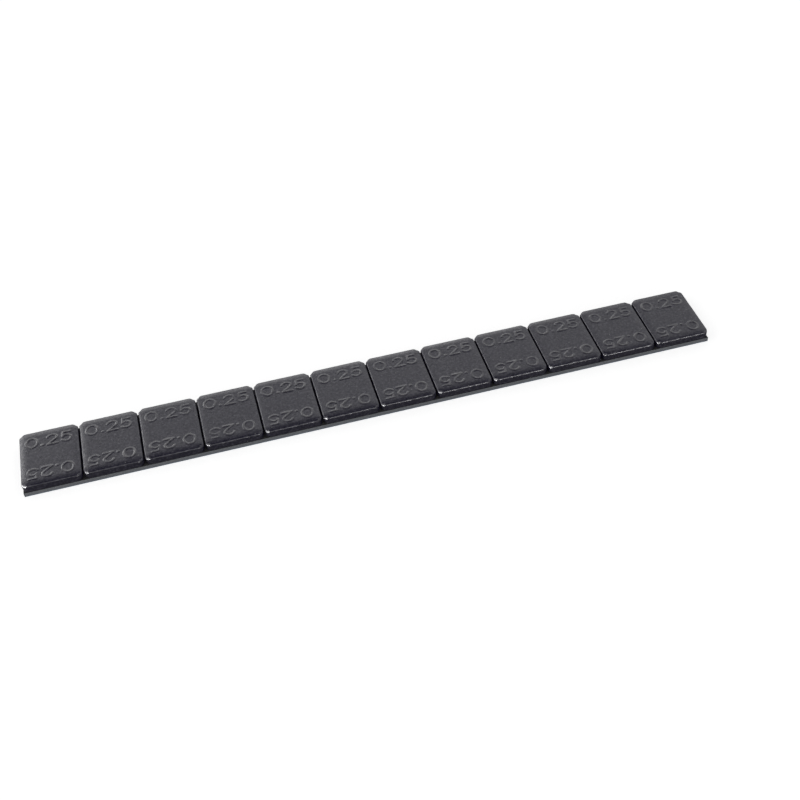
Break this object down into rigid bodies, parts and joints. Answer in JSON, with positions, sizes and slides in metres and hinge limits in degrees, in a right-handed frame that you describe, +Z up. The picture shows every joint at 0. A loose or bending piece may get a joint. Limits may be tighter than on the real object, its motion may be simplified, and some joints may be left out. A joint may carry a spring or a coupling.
{
  "type": "wheel balance weight strip",
  "caption": "Strip of stick-on wheel balance weights: coated steel blocks in a row on double-sided foam tape with a release liner.",
  "frame": {"origin": "centre of the release liner's lower face, on the surface that the strip lies on", "axes": "+X along the strip, +Y across it, +Z up through the weights"},
  "size_m": [0.2018, 0.0208, 0.004],
  "materials": {
    "coated_steel": "satin black epoxy coat with a fine orange-peel texture, on steel",
    "foam": "matt grey closed-cell foam with cut edges",
    "liner_film": "smooth blue-grey release film"
  },
  "bodies": {
    "root": {"weight_01": "coated_steel", "weight_02": "coated_steel", "weight_03": "coated_steel", "weight_04": "coated_steel", "weight_05": "coated_steel", "weight_06": "coated_steel", "weight_07": "coated_steel", "weight_08": "coated_steel", "weight_09": "coated_steel", "weight_10": "coated_steel", "weight_11": "coated_steel", "weight_12": "coated_steel", "foam_tape": "foam", "release_liner": "liner_film"}
  },
  "joints": []
}
